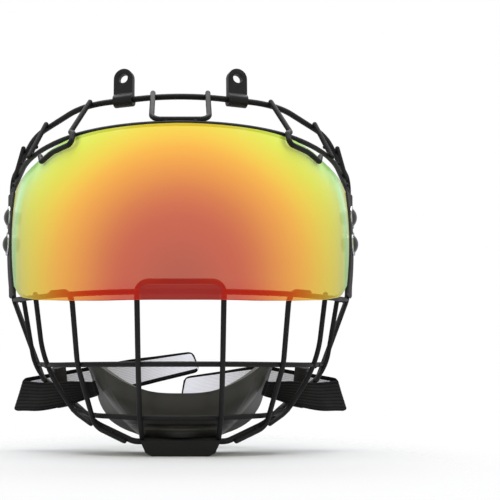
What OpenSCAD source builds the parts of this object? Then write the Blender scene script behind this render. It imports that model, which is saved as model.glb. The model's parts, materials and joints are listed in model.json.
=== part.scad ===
// Hockey visor cage combo: a welded wire face cage with a curved visor lens, a chin cup on its
// lower wires, two elastic chin straps and two loop clips that fasten it to a helmet.
// The wearer looks along -Y. Left and right are as seen from the front.
// Every wire is given the way a wire bender gets it: corner points and bend radii.

/* [Wire stock] */
// Diameter of the rim wire
rim_d = 3.2; // [3:0.1:3.6]
// Diameter of all inner wires and bars
bar_d = 2.8; // [2.6:0.1:3.2]
// How deep welded wires melt into each other
weld = 0.3; // [0.2:0.05:0.4]

/* [Rim] */
// Height of the rim wire above the visor line at the forehead
rim_top = 61; // [58:0.5:64]
// Depth of the rim wire at the forehead
rim_front = 18.8; // [17:0.2:20]
// Angle that the rim wire turns away at each clip
clip_turn = 18; // [16:1:20]
// Half width of the rim at the ear corners
ear_x = 109.4; // [107:0.2:112]
// Depth of the ear corners
ear_y = 129; // [126:0.5:131]
// Height of the ear corners
ear_top = 43.5; // [41:0.5:45]
// Height of the lower ear bends
ear_low = -34.5; // [-36:0.5:-33]
// How far the lower ear bends lie in front of the upper ones
ear_lean = 8.5; // [7:0.5:10]
// How far they lie further in
ear_tuck = 5; // [3:0.2:6]
// Half width of the rim at the jaw corners
jaw_corner_x = 82.5; // [80:0.5:85]
// Height of the jaw corners
jaw_corner_z = -84.5; // [-87:0.5:-82]
// Half width of the straight rim wire under the chin
chin_half = 25; // [24:0.5:27]
// Depth of the rim wire under the chin
chin_y = 54.3; // [53:0.1:56]
// Height of the rim wire under the chin
chin_z = -119.3; // [-121:0.1:-117]

/* [Brow, rail and jaw wires] */
// Depth of the brow wire at the middle
brow_front = -3.2; // [-4:0.1:-2]
// Height of the brow wire at the middle
brow_z = 39.6; // [38:0.2:41]
// How much lower the brow wire ends at the ears
brow_drop = 4.6; // [3:0.2:6]
// Bend radius of the brow and rail wires across the face
face_r = 85; // [83:0.5:88]
// Angle that they turn to each side of the middle
face_turn = 52.2; // [51:0.2:54]
// Knee of the brow wire beyond the corner of the lens
brow_knee_out = 16.5; // [15:0.1:18]
// Knee of the rail wire beyond the corner of the lens
rail_knee_out = 13.4; // [12:0.1:15]
// Depth of the rail wire at the middle
rail_front = -4; // [-5:0.1:-3]
// Height of the rail wire at the middle
rail_z = -49; // [-51:0.2:-47]
// How much higher the rail wire ends at the ears
rail_rise = 13.5; // [12:0.5:14]
// Depth of the jaw wire at the middle
jaw_front = 20.4; // [19:0.2:22]
// Height of the jaw wire at the middle
jaw_z = -81; // [-83:0.5:-79]
// Depth of the chin wire at the middle
chin_front = 42.8; // [42:0.2:44]
// Height of the chin wire at the middle
chin_wire_z = -107.8; // [-109:0.2:-106]

/* [Bars and struts] */
// Half distance of the two centre bars
centre_x = 21.6; // [20:0.2:23]
// Half distance of the brow hoop posts
hoop_x = 14.6; // [13:0.2:16]
// Rise of the post tips above the rim
tip_rise = 3.4; // [2.5:0.1:4.5]
// Half distance of the cheek bars at the rail
cheek_x = 57; // [55:0.5:59]
// Half distance of the side bars at the rail
side_x = 81.4; // [80:0.2:83]
// Half distance of the rear bars at the rail
rear_x = 95.4; // [94:0.2:97]
// Half distance of the visor hooks at the rim
hook_x = 48.4; // [47:0.2:50]
// Half distance of the front temple struts at the rim
front_strut_x = 76; // [75:0.5:78]
// How much further out the front struts meet the brow wire
front_strut_spread = 6.6; // [5:0.2:8]
// Half distance of the rear temple struts at the rim
rear_strut_x = 94.2; // [93:0.2:96]
// How much further out the rear struts meet the brow wire
rear_strut_spread = 3.2; // [2:0.2:5]

/* [Visor lens] */
// Thickness of the lens
lens_t = 2.2; // [1.8:0.1:2.4]
// Depth of the foremost point of the lens
lens_front = -15.8; // [-18:0.2:-15]
// Bend radius of the lens across the face
lens_r = 92; // [90:0.5:94]
// Radius of the upright curve of the lens in front
lens_upright_r = 135; // [120:1:150]
// Radius of the upright curve at the corners of the face
corner_upright_r = 105; // [100:1:120]
// Radius of the upright curve at the flanks
flank_upright_r = 230; // [200:5:260]
// Half width at the rear ends of the lens
lens_end_x = 107.4; // [106:0.2:108]
// Depth of the rear ends of the lens
lens_end_y = 116; // [114:0.5:118]
// Gap between the lens and the wires
lens_gap = 0.4; // [0.3:0.05:0.6]
// Thickness of the side plates
plate_t = 1.2; // [1:0.1:1.6]
// Front edge of the side plate at its lower end, from the brow wire's plane
plate_front_y = 95.5; // [90:0.5:100]
// How much further back the upper end of that edge lies
plate_slant = 10; // [6:0.5:12]
// Diameter of the screw shanks
screw_d = 5; // [4:0.5:5.5]
// Diameter of the domed screw heads
dome_d = 11; // [9:0.2:12]
// Diameter of the bright rings round the heads
ring_d = 14.4; // [13:0.2:15]
// Distance between the two screws of one plate
screw_pitch = 17.4; // [16:0.2:19]

/* [Chin cup] */
// Half width of the cup at its upper edge
cup_half = 53.5; // [52:0.5:55]
// Depth of the cup front at its upper edge
cup_front = 44; // [42:0.5:46]
// Depth of the wing tips
wing_back = 112; // [108:1:114]
// Thickness of the cup shell
shell_t = 3; // [2.5:0.1:3.5]
// Thickness of the chin pad
pad_t = 5; // [4:0.5:6]
// How far the foot reaches below the rim wire
foot_drop = 7.6; // [7:0.2:9]
// Length of the foot
foot_l = 44; // [40:1:48]

/* [Straps and clips] */
// Width of the elastic strap
strap_w = 19; // [17:0.5:20]
// Thickness of the elastic strap
strap_t = 1.8; // [1.4:0.1:2.2]
// Half distance of the corners where the straps fold back
fold_x = 100.5; // [98:0.5:102]
// Width of a clip
clip_w = 10.8; // [10:0.2:12]
// Thickness of the clip strip
clip_t = 2; // [1.6:0.1:2.4]
// Height of a clip above the rim wire
clip_h = 17.4; // [16:0.2:19]
// Diameter of the screw hole in a clip
clip_hole_d = 5.2; // [4.5:0.1:5.6]
// Radial clearance between a clip and the rim wire
clip_play = 0.06; // [0.04:0.01:0.08]

/* [Hidden] */

rim_r = rim_d / 2;
bar_r = bar_d / 2;
// centre distance of two welded wires
bar_on_bar = bar_d - weld;
bar_on_rim = rim_r + bar_r - weld;
// straight pieces reach into the bends by a small lap, just inside the bend's own surface
lap_skin = 0.02;
function lap(r) = r < 4 ? 0.6 * sqrt(lap_skin * (r - bar_r)) : min(0.3, sqrt(lap_skin * r / 2));

function unit(v) = v / norm(v);
function mix(a, b, t) = a + (b - a) * t;
function flip(p) = [-p[0], p[1], p[2]];
function both_sides(right) = concat([for (i = [len(right) - 1:-1:1]) flip(right[i])], right);
function both_radii(right) = concat([for (i = [len(right) - 1:-1:1]) right[i]], right);

// corner i of a path: the bend's set-back, centre and samples along it
function corner_half(p, i, n) = acos(unit(p[(i + n - 1) % n] - p[i]) * unit(p[(i + 1) % n] - p[i])) / 2;
function set_back(p, r, i, n) = r[i] <= 0 ? 0 : r[i] / tan(corner_half(p, i, n));
function bend_centre(p, r, i, n) = let(a = unit(p[(i + n - 1) % n] - p[i]), b = unit(p[(i + 1) % n] - p[i]))
    p[i] + unit(a + b) * norm([r[i], set_back(p, r, i, n)]);
function bend_samples(p, r, i, n, steps) = let(
    c = bend_centre(p, r, i, n),
    s = p[i] + unit(p[(i + n - 1) % n] - p[i]) * set_back(p, r, i, n) - c,
    e = p[i] + unit(p[(i + 1) % n] - p[i]) * set_back(p, r, i, n) - c,
    w = acos(unit(s) * unit(e)))
    [for (k = [0:steps]) c + (sin(w * (1 - k / steps)) * s + sin(w * k / steps) * e) / sin(w)];
// centre line of an open bent wire
function trace(p, r, steps = 10) = let(n = len(p))
    [for (i = [0:n - 1]) each (r[i] <= 0 ? [p[i]] : bend_samples(p, r, i, n, steps))];

// point of a centre line at a distance x from the middle, and the same moved outwards
function at_x(t, x) = [x, lookup(x, [for (q = t) [q[0], q[1]]]), lookup(x, [for (q = t) [q[0], q[2]]])];
function out_dir(t, x) = let(d = at_x(t, x + 0.5) - at_x(t, x - 0.5)) unit([d[1], -d[0], 0]);
function beside(t, x, off) = at_x(t, x) + off * out_dir(t, x);

// half of a wire that runs round the face: middle, knee and end
function face_half(front, z, r, turn, knee_x, knee_z, end) = let(apex = front - r * (1 / cos(turn) - 1))
    [[0, apex, z], [knee_x, apex + knee_x * tan(turn), knee_z], end];

module along(v) {
    rotate([0, acos(v[2] / norm(v)), atan2(v[1], v[0])]) children();
}

// moves its children to o, with their X along x and their Z along z
module framed(o, x, z) {
    y = cross(z, x);
    multmatrix([[x[0], y[0], z[0], o[0]], [x[1], y[1], z[1], o[1]], [x[2], y[2], z[2], o[2]], [0, 0, 0, 1]])
        children();
}

// a wire through corner points p with bend radii r, its free ends rounded where asked
module bent_wire(p, r, d, closed = false, round_start = false, round_end = false) {
    n = len(p);
    last = closed ? n - 1 : n - 2;
    union() {
        for (i = [0:last]) {
            j = (i + 1) % n;
            u = unit(p[j] - p[i]);
            a = p[i] + u * (r[i] > 0 ? set_back(p, r, i, n) - lap(r[i]) : 0);
            b = p[j] - u * (r[j] > 0 ? set_back(p, r, j, n) - lap(r[j]) : 0);
            translate(a) along(b - a) cylinder(d = d, h = norm(b - a), $fn = 32);
        }
        for (i = [0:n - 1]) {
            if (r[i] > 0) {
                c = bend_centre(p, r, i, n);
                s = p[i] + unit(p[(i + n - 1) % n] - p[i]) * set_back(p, r, i, n) - c;
                e = p[i] + unit(p[(i + 1) % n] - p[i]) * set_back(p, r, i, n) - c;
                framed(c, unit(s), unit(cross(s, e)))
                    rotate_extrude(angle = acos(unit(s) * unit(e)), $fn = r[i] > 30 ? 240 : 72)
                    translate([r[i], 0]) circle(d = d - lap_skin, $fn = 32);
            }
        }
        if (round_start) translate(p[0]) sphere(d = d - lap_skin, $fn = 32);
        if (round_end) translate(p[n - 1]) sphere(d = d - lap_skin, $fn = 32);
    }
}

// Rim wire: over the forehead, down past the ears and the jaw, and under the chin
rim_knee_x = 86;
rim_second_x = 52.4;
rim_apex_y = rim_front - 72 * (1 / cos(clip_turn) - 1);
rim_second = [rim_second_x, rim_apex_y + rim_second_x * tan(clip_turn), rim_top];
rim_knee = [rim_knee_x, rim_second[1] + (rim_knee_x - rim_second_x) * tan(face_turn), rim_top - 4];
ear_upper = [ear_x, ear_y, ear_top];
ear_lower = [ear_x - ear_tuck, ear_y - ear_lean, ear_low];
jaw_corner = [jaw_corner_x, ear_y - 22, jaw_corner_z];
cheek_low = [61, 101, mix(jaw_corner_z, chin_z, 0.46)];
chin_turn = [46, 67, mix(jaw_corner_z, chin_z, 0.74)];
chin_corner = [chin_half, chin_y, chin_z];
rim_right = [[0, rim_apex_y, rim_top], rim_second, rim_knee, ear_upper, ear_lower, jaw_corner, cheek_low,
    chin_turn, chin_corner];
rim_right_r = [72, 50, 90, 9, 18, 7, 12, 16, 8];
rim_path = concat([for (i = [len(rim_right) - 1:-1:1]) flip(rim_right[i])], rim_right);
rim_radii = concat([for (i = [len(rim_right) - 1:-1:1]) rim_right_r[i]], rim_right_r);
rim_top_line = trace(both_sides([rim_right[0], rim_second, rim_knee, ear_upper]), both_radii([72, 50, 90, 0]));
// side of the rim from the ear down to the jaw corner
rim_side_line = trace([ear_upper, ear_lower, jaw_corner], [0, 18, 0]);
function rim_side(z) = [lookup(z, [for (q = rim_side_line) [q[2], q[0]]]),
    lookup(z, [for (q = rim_side_line) [q[2], q[1]]]), z];

// Lens in plan: one bend between two straight flanks; the wires follow its corner
lens_tail = [lens_end_x, lens_end_y];
lens_dy = lens_tail[1] - lens_front - lens_r;
flank_angle = atan2(lens_dy, lens_tail[0]) + asin(lens_r / norm([lens_tail[0], lens_dy]));
flank_u = [cos(flank_angle), sin(flank_angle), 0];
flank_n = [sin(flank_angle), -cos(flank_angle), 0];
// where the flank line meets the front line of the lens
lens_corner_x = lens_tail[0] - (lens_tail[1] - lens_front) / tan(flank_angle);
brow_knee_x = lens_corner_x + brow_knee_out;
rail_knee_x = lens_corner_x + rail_knee_out;

// Brow, rail, jaw and chin wires, each welded to the rim at its ends
function rim_seat(z, dir) = rim_side(z) - (rim_r - weld) * dir;
flank_dir = unit([0.3, 0.954, 0]);
brow_half = face_half(brow_front, brow_z, face_r, face_turn, brow_knee_x, brow_z - 1,
    rim_seat(brow_z - brow_drop, flank_dir));
rail_half = face_half(rail_front, rail_z, face_r, face_turn, rail_knee_x, rail_z + 0.45 * rail_rise,
    rim_seat(rail_z + rail_rise, flank_dir));
jaw_end = mix(ear_lower, jaw_corner, 0.83);
jaw_half = face_half(jaw_front, jaw_z, 75, 48, 70, jaw_z + 2.5, jaw_end - (rim_r - weld) * unit([0.3, 0.95, 0]));
chin_end = cheek_low + [2.2, -2, -2.4] * (bar_on_rim / 2.7);
chin_half_path = face_half(chin_front, chin_wire_z, 55, 42, 48, chin_wire_z + 2, chin_end);
brow_radii = [face_r, 150, 0];
rail_radii = [face_r, 120, 0];
jaw_radii = [75, 55, 0];
chin_radii = [55, 35, 0];
brow_line = trace(both_sides(brow_half), both_radii(brow_radii));
rail_line = trace(both_sides(rail_half), both_radii(rail_radii));
jaw_line = trace(both_sides(jaw_half), both_radii(jaw_radii));
chin_line = trace(both_sides(chin_half_path), both_radii(chin_radii));

// Lens: an upright curve that is flatter at the flanks
lens_mid_z = (brow_z + rail_z) / 2 - 3.3;
low_corner_r = 600;
lens_past = lens_tail + [flank_u[0], flank_u[1]] * 12;
lens_line = trace([[-lens_past[0], lens_past[1], 0], [0, lens_tail[1] - lens_tail[0] * tan(flank_angle), 0],
    [lens_past[0], lens_past[1], 0]], [0, lens_r, 0], 48);
lens_top_z = brow_z - bar_r - lens_gap;
lens_low_z = rail_z - 1.7;
function lens_top(x) = lens_top_z - lookup(x, [[0, 0], [60, 0.6], [80, 1.8], [92, 3], [100, 5], [104, 7],
    [106, 10], [lens_end_x, 14]]);
function lens_low(x) = lens_low_z + lookup(x, [[0, 0], [40, 0.5], [60, 1.7], [75, 3.7], [86, 7.4], [91, 11],
    [96, 15.6], [101, 20.4], [104, 23], [106, 27], [lens_end_x, 31]]);
function arc_fall(r, z) = r - sqrt(r * r - z * z);
// the upper corners fall back more than the lower ones, which stay clear of the rail wire
function flatter(x, z) = z > lens_mid_z
    ? lookup(x, [[0, 0], [84, 0], [88, 0.08], [92, 0.45], [96, 0.75], [100, 0.95], [103, 1]])
    : lookup(x, [[0, 0], [88, 0], [92, 0.1], [96, 0.3], [100, 0.7], [103, 1]]);
function upright_r(x, z) = z > lens_mid_z
    ? lookup(x, [[0, lens_upright_r], [45, lens_upright_r], [78, corner_upright_r]])
    : 1 / lookup(x, [[0, 1 / lens_upright_r], [45, 1 / lens_upright_r], [80, 1 / low_corner_r]]);
function lens_fall(x, z) = mix(arc_fall(upright_r(x, z), z - lens_mid_z), arc_fall(flank_upright_r, z - 1),
    flatter(x, z));
function lens_out(x, z, off = 0) = let(q = beside(lens_line, x, off - lens_fall(x, z))) [q[0], q[1], z];
lens_cols = 22;
lens_rows = 8;
function lens_col(i, off) = let(x = (lens_end_x - 0.6) * sin(90 * abs(i) / lens_cols))
    [for (j = [0:lens_rows]) let(q = lens_out(x, mix(lens_low(x), lens_top(x), j / lens_rows), off))
        i < 0 ? flip(q) : q];

// Side plates: sheets that lie on the lens flanks and on the rim
plate_top = brow_z - brow_drop - bar_r - 0.2;
plate_low = rail_z + rail_rise + bar_r - 0.5;
plate_off = 0.12;
function rim_outside(z) = rim_side(z) + (rim_r + plate_off) * flank_n;
function flank_y(z) = mix(plate_front_y, plate_front_y + plate_slant, (z - plate_low) / (plate_top - plate_low));
function flank_x(y) = lens_end_x - (lens_end_y - y) / tan(flank_angle);
function plate_front(z) = lens_out(flank_x(flank_y(z)), z, plate_off);
// the plate bends just behind the end of the lens
function plate_mid(z) = lens_out(lens_end_x - 0.3, z, plate_off);
function plate_row(z) = let(r = [plate_front(z), plate_mid(z), rim_outside(z)])
    concat([for (q = r) q + plate_t * flank_n], [for (i = [2:-1:0]) r[i]]);
plate_rows = 10;

// Screws through plate and lens
screw_mid_z = 6.5;
screw_z = [screw_mid_z + screw_pitch / 2, screw_mid_z - screw_pitch / 2];
function screw_at(z) = lens_out(flank_x(mix(flank_y(z), rim_side(z)[1], 0.36)), z, plate_off + plate_t + 0.2);
head_h = 3.2;
ring_t = 0.8;
nut_t = 3;
dome_r = (pow(dome_d / 2, 2) + pow(head_h - ring_t, 2)) / (2 * (head_h - ring_t));
stack = plate_t + plate_off + 0.2 + lens_t + 0.3 + nut_t;

// Chin cup: stations round the chin, each with a section from the upper edge down and in under the chin
cup_mid = 87.5;
pad_gap = 0.7;
cup_top = jaw_z + 3.5;
cup_low = chin_z + rim_r + 0.4;
cup_cols = 24;
wall_rows = 6;
floor_in = [37, 44, 50];
wing_run = wing_back - cup_mid;
cup_stations = concat([[-90, 1], [-90, 0.66], [-90, 0.33]],
    [for (i = [-cup_cols / 2:cup_cols / 2]) [90 * i / (cup_cols / 2), 0]], [[90, 0.33], [90, 0.66], [90, 1]]);
function wall_in(v) = 13 * v + 17.5 * v * v;
function cup_edge(a, w) = cup_top - 16.5 * max(0, 1 - pow(abs(cup_half * sin(a)) / 46, 3)) - 10 * w * w;
function cup_base(w) = cup_low + 4 * pow(w, 0.5) + 20 * w * w;
function cup_point(a, w, inward, under, z) = [
    (cup_half - inward + 3 * w * (1 - w)) * sin(a),
    cup_mid - (cup_mid - cup_front - 0.2 * (cup_top - z) - under) * cos(a) + w * wing_run,
    z];
function wall_point(a, w, v, near, edge) = let(z = mix(edge, cup_base(w) + near * 0.9, v), h = (cup_top - z) / (cup_top - cup_low))
    cup_point(a, w, wall_in(h) * (1 - 0.75 * w) + near, near, z);
function cup_line(a, w, near, drop) = concat(
    [for (k = [0:wall_rows]) wall_point(a, w, k / wall_rows, near, cup_edge(a, w) - drop)],
    [for (f = floor_in) cup_point(a, w, (f + near * 0.2) * (1 - 0.75 * w), (f - 30) * 1.7, cup_base(w) + near * 0.9)]);
function cup_ring(a, w, near, far, drop) = let(o = cup_line(a, w, near, drop), n = cup_line(a, w, far, drop + 0.3))
    concat(o, [for (k = [len(n) - 1:-1:0]) n[k]]);

// skin over a row of equal closed rings, from the first ring to the last
module skin(rings) {
    n = len(rings[0]);
    m = len(rings) - 1;
    sides = [for (i = [0:m - 1], k = [0:n - 1]) let(a = i * n + k, b = i * n + (k + 1) % n) each
        [[a, a + n, b], [b, a + n, b + n]]];
    first = [for (k = [1:n / 2 - 1]) each [[k - 1, k, n - k], [k, n - k - 1, n - k]]];
    polyhedron([for (r = rings) each r],
        concat(sides, first, [for (f = first) [for (k = [2:-1:0]) f[k] + m * n]]), convexity = 6);
}

// Straps: flat bands along corner points; the lean of a band is given along its length
fold_r = 4.5;
strap_z = -94.4;
strap_end_w = 8;
wing_side = wall_point(90, 0, 0.37, 0, cup_top)[0] + 1 + strap_t / 2;
function strap_path(end) = [[wing_side, 80, strap_z + 4], [wing_side + 1, 91, strap_z + 3.4],
    [80, 96.9, strap_z - 1.2], [fold_x, 113.5, strap_z], [52, 141.5, strap_z + 10], end];
strap_radii = [0, 7, 25, fold_r, 24, 0];
left_end = [-10.5, 166, -71.5];
right_end = [1.5, 150, -89];
band_lean = -6;
function arc_length(t, i) = i == 0 ? 0 : norm(t[i] - t[i - 1]) + arc_length(t, i - 1);
function band_frame(d, lean) = let(side = unit([d[1], -d[0], 0])) [
    side * sin(lean) + [0, 0, cos(lean)],
    side * cos(lean) + [0, 0, -sin(lean)]];
function band_ring(t, i, start_lean, end_lean) = let(
    n = len(t) - 1,
    s = arc_length(t, i),
    whole = arc_length(t, n),
    lean = lookup(s, [[0, start_lean], [13, start_lean], [32, -24], [46, -33], [58, -26], [66, -12], [74, band_lean],
        [whole - 62, band_lean], [whole - 30, mix(band_lean, end_lean, 0.7)], [whole, end_lean]]),
    w = lookup(s, [[0, strap_end_w], [12, strap_end_w + 1], [26, strap_w * 0.74], [42, strap_w], [whole, strap_w]]),
    f = band_frame(t[min(n, i + 1)] - t[max(0, i - 1)], lean))
    [for (c = [[-1, -1], [1, -1], [1, 1], [-1, 1]]) t[i] + f[1] * c[0] * strap_t / 2 + f[0] * c[1] * w / 2];
// the same line with more points on its straight parts
function finer(t) = [for (i = [0:len(t) - 2]) let(n = max(1, round(norm(t[i + 1] - t[i]) / 6)))
    each [for (k = [0:n - 1]) mix(t[i], t[i + 1], k / n)], t[len(t) - 1]];
function strap_points(end) = finer(trace(strap_path(end), strap_radii, 6));

// Everything is shifted so that the origin lies on the floor, under the middle of the depth
foot_z = chin_z - foot_drop;
left_points = strap_points(left_end);
back_y = max([for (i = [0:len(left_points) - 1], q = band_ring(left_points, i, 20, 45)) q[1]]);
front_y = min([for (k = [-8:8]) lens_out(0, lens_mid_z + k)[1]]);
module placed() {
    translate([0, -(front_y + back_y) / 2, -foot_z]) children();
}
module left_copy() {
    mirror([1, 0, 0]) children();
}
wire_black = [0.13, 0.13, 0.14];

module rim_wire() {
    color(wire_black) placed() bent_wire(rim_path, rim_radii, rim_d, closed = true);
}
module brow_wire() {
    color(wire_black) placed() bent_wire(both_sides(brow_half), both_radii(brow_radii), bar_d);
}
module rail_wire() {
    color(wire_black) placed() bent_wire(both_sides(rail_half), both_radii(rail_radii), bar_d);
}
module jaw_wire() {
    color(wire_black) placed() bent_wire(both_sides(jaw_half), both_radii(jaw_radii), bar_d);
}
module chin_wire() {
    color(wire_black) placed() bent_wire(both_sides(chin_half_path), both_radii(chin_radii), bar_d);
}
// U wire over the forehead, standing on the brow wire and crossing in front of the rim
module brow_hoop() {
    seat = at_x(brow_line, hoop_x) + [0, 0, bar_on_bar];
    cross = at_x(rim_top_line, hoop_x) + [0, -bar_on_rim, 0];
    tip = cross + unit(cross - seat) * tip_rise;
    p = [flip(tip), flip(seat), seat, tip];
    color(wire_black) placed() bent_wire(p, [0, 5, 5, 0], bar_d, false, true, true);
}
// Two centre bars made from one inverted U: behind the rail, in front of the jaw and chin wires
module centre_hoop() {
    top = beside(rail_line, centre_x, -bar_on_bar) + [0.6, 0, 5.5];
    jaw = beside(jaw_line, centre_x - 0.8, bar_on_bar);
    chin = beside(chin_line, centre_x - 1, bar_on_bar);
    tip = [centre_x - 1.2, chin_y, chin_z] + [0, -0.76, 0.65] * bar_on_rim;
    right = [top, jaw, chin, tip];
    p = concat([for (i = [3:-1:0]) flip(right[i])], right);
    color(wire_black) placed() bent_wire(p, [0, 60, 60, 6, 6, 60, 60, 0], bar_d, false, true, true);
}
// Cheek bar: its top is bent outwards along the rail, its foot runs beside the rim
rim_lane = [0.9, -2.2, -1.75] * (bar_on_rim / 2.95);
module cheek_bar() {
    lift = [0, 0, 1.8];
    start = beside(rail_line, cheek_x + 12, -1.8) + lift;
    top = beside(rail_line, cheek_x, -1.8) + lift;
    jaw = beside(jaw_line, cheek_x - 4.4, bar_on_bar);
    low = chin_turn + rim_lane;
    tip = mix(chin_turn, chin_corner, 0.8) + rim_lane;
    color(wire_black) placed() bent_wire([start, top, jaw, low, tip], [0, 5, 50, 6, 0], bar_d, false, true, true);
}
module side_bar() {
    top = beside(rail_line, side_x, 0.4 - bar_on_bar) + [0, 0, 2];
    jaw = beside(jaw_line, side_x - 6.4, bar_on_bar);
    low = [60, 78, chin_wire_z + 4];
    tip = mix(chin_turn, cheek_low, 0.12) + [1.9, -1.4, -1.3] * (bar_on_rim / 2.9);
    color(wire_black) placed() bent_wire([top, jaw, low, tip], [0, 50, 12, 0], bar_d, false, true, true);
}
module rear_bar() {
    top = beside(rail_line, rear_x, 0.4 - bar_on_bar) + [0, 0, 1.5];
    jaw = beside(jaw_line, rear_x - 10, bar_on_bar);
    tip = mix(jaw_corner, cheek_low, 0.12) + [0.8, -2.4, 0.9] * (bar_on_rim / 2.7);
    color(wire_black) placed() bent_wire([top, jaw, tip], [0, 20, 0], bar_d, false, true, true);
}
// Visor hook: from the rim down over the brow wire, forward over the upper edge of the lens, down
// its face and outwards along it, with the end turned up
hook_over = [11.2, 0.5];
hook_down = [9.7, -6.2];
hook_along = [22.8, -6.8];
hook_grip = [29.9, -9.4];
hook_nib = [33.1, -4.7];
function hook_point(at, off) = lens_out(hook_x + at[0], lens_top_z + at[1], bar_r + lens_gap + off);
module visor_hook() {
    cross = beside(rim_top_line, hook_x, bar_on_rim);
    brow_x = hook_x + 9;
    seat = at_x(brow_line, brow_x) + unit(0.3 * out_dir(brow_line, brow_x) + [0, 0, 1]) * bar_on_bar;
    tip = cross + unit(cross - seat) * tip_rise / 2;
    p = [tip, seat, hook_point(hook_over, 1), hook_point(hook_down, 1.5), hook_point(hook_along, 0.5),
        hook_point(hook_grip, 0.4), hook_point(hook_nib, 0.7)];
    color(wire_black) placed() bent_wire(p, [0, 2.2, 2.2, 2.2, 30, 2.2, 0], bar_d, false, true, true);
}
module temple_strut(x, spread, rise) {
    cross = beside(rim_top_line, x, bar_on_rim);
    seat = beside(brow_line, x + spread, bar_on_bar);
    run = unit(cross - seat);
    color(wire_black) placed() bent_wire([cross + run * rise, seat - run * 1.4], [0, 0], bar_d, false, true, true);
}
module visor_lens() {
    rings = [for (i = [lens_cols:-1:-lens_cols]) let(o = lens_col(i, 0), n = lens_col(i, -lens_t))
        concat(o, [for (j = [lens_rows:-1:0]) n[j]])];
    color([0.95, 0.6, 0.2]) placed() difference() {
        skin(rings);
        at_screws() translate([0, 0, -stack]) cylinder(d = screw_d + 0.6, h = stack + 2, $fn = 48);
    }
}
module side_plate() {
    color([0.08, 0.08, 0.09]) placed() difference() {
        skin([for (i = [0:plate_rows]) plate_row(mix(plate_low, plate_top, i / plate_rows))]);
        for (z = screw_z) {
            translate(screw_at(z)) along(flank_n) translate([0, 0, -3]) cylinder(d = screw_d + 0.2, h = 6, $fn = 48);
        }
    }
}
// places its children at each screw, with Z along the screw axis and zero on the plate's outer face
module at_screws() {
    for (m = [0, 1], z = screw_z) {
        mirror([m, 0, 0]) translate(screw_at(z)) along(flank_n) children();
    }
}
module visor_screws() {
    color([0.1, 0.1, 0.11]) placed() at_screws() {
        rotate_extrude($fn = 48) intersection() {
            translate([0, head_h - dome_r]) circle(r = dome_r, $fn = 96);
            translate([0, ring_t]) square([dome_d / 2, head_h]);
        }
        translate([0, 0, -stack]) cylinder(d = screw_d, h = stack + ring_t + 0.5, $fn = 48);
    }
}
module screw_rings() {
    color([0.75, 0.76, 0.78]) placed() at_screws() difference() {
        cylinder(d = ring_d, h = ring_t, $fn = 64);
        translate([0, 0, -1]) cylinder(d = screw_d + 0.3, h = ring_t + 2, $fn = 48);
    }
}
module screw_nuts() {
    color([0.6, 0.61, 0.63]) placed() at_screws() translate([0, 0, -stack]) difference() {
        cylinder(d = 9.2, h = nut_t, $fn = 6);
        translate([0, 0, -1]) cylinder(d = screw_d + 0.1, h = nut_t + 2, $fn = 48);
    }
}
module chin_shell() {
    color([0.3, 0.29, 0.27]) placed() skin([for (q = cup_stations) cup_ring(q[0], q[1], 0, shell_t, 0)]);
}
module chin_pad() {
    color([0.18, 0.18, 0.18]) placed()
        skin([for (q = cup_stations) cup_ring(q[0], q[1] * 0.86, shell_t + pad_gap, shell_t + pad_gap + pad_t, 2.5)]);
}
// Foot: a tapered block that grips the rim wire and carries the whole cage
module chin_foot() {
    front = 48;
    behind = chin_y + rim_r + 0.6;
    lip = chin_z + 0.6 - foot_z;
    full = cup_low - 0.2 - foot_z;
    color([0.07, 0.07, 0.07]) placed() difference() {
        union() {
            translate([0, behind + 1, foot_z]) rotate([90, 0, 0]) linear_extrude(behind + 1 - front)
                polygon([[-15, 0], [15, 0], [18.5, 2], [21.4, lip], [-21.4, lip], [-18.5, 2]]);
            translate([0, front + foot_l, foot_z]) rotate([90, 0, 0]) linear_extrude(front + foot_l - behind)
                polygon([[-15, 0], [15, 0], [18.5, 2], [22, full], [-22, full], [-18.5, 2]]);
        }
        translate([-25, chin_y, chin_z]) rotate([0, 90, 0]) cylinder(d = rim_d + 0.1, h = 50, $fn = 48);
    }
}
module strap(end, start_lean, end_lean) {
    t = strap_points(end);
    color([0.2, 0.2, 0.2]) placed() skin([for (i = [len(t) - 1:-1:0]) band_ring(t, i, start_lean, end_lean)]);
}
// Slider: a loop that the strap runs through, on the straight stretch behind the fold
slider_run = unit(strap_path(left_end)[4] - strap_path(left_end)[3]);
slider_at = mix(strap_path(left_end)[3], strap_path(left_end)[4], 0.53);
slider_w = 8;
module slider() {
    f = band_frame(slider_run, band_lean);
    up = unit(f[0] - (f[0] * slider_run) * slider_run);
    color([0.06, 0.06, 0.07]) placed() framed(slider_at, slider_run, up) difference() {
        translate([-slider_w / 2, -strap_t / 2 - 2, -strap_w / 2 - 3]) cube([slider_w, strap_t + 4, strap_w + 6]);
        translate([-slider_w, -strap_t / 2 - 0.4, -strap_w / 2 - 0.6]) cube([slider_w * 2, strap_t + 0.8, strap_w + 1.2]);
    }
}
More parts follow.
